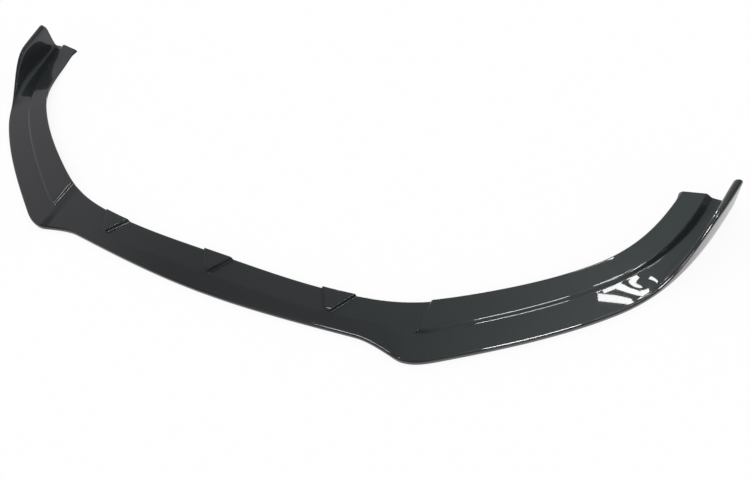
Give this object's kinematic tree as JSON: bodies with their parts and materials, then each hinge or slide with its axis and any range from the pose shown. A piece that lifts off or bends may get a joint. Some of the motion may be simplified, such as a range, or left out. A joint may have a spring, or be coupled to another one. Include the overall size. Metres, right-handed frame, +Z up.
{
  "type": "front splitter lip",
  "caption": "Gloss carbon-look front bumper lip: a thin curved blade with raised seating flanges, small wedges along its rear edge and an upturned winglet at each end.",
  "frame": {"origin": "under the middle of the lip's box in plan, in the plane that its outer rim stands on", "axes": "+X across the car, +Y from the front edge back towards the wheel arches, +Z up"},
  "size_m": [1.798, 0.55, 0.0735],
  "materials": {
    "carbon_gloss": "high-gloss lacquer over a fine dark twill weave"
  },
  "bodies": {
    "root": {"splitter_lip": "carbon_gloss"}
  },
  "joints": []
}
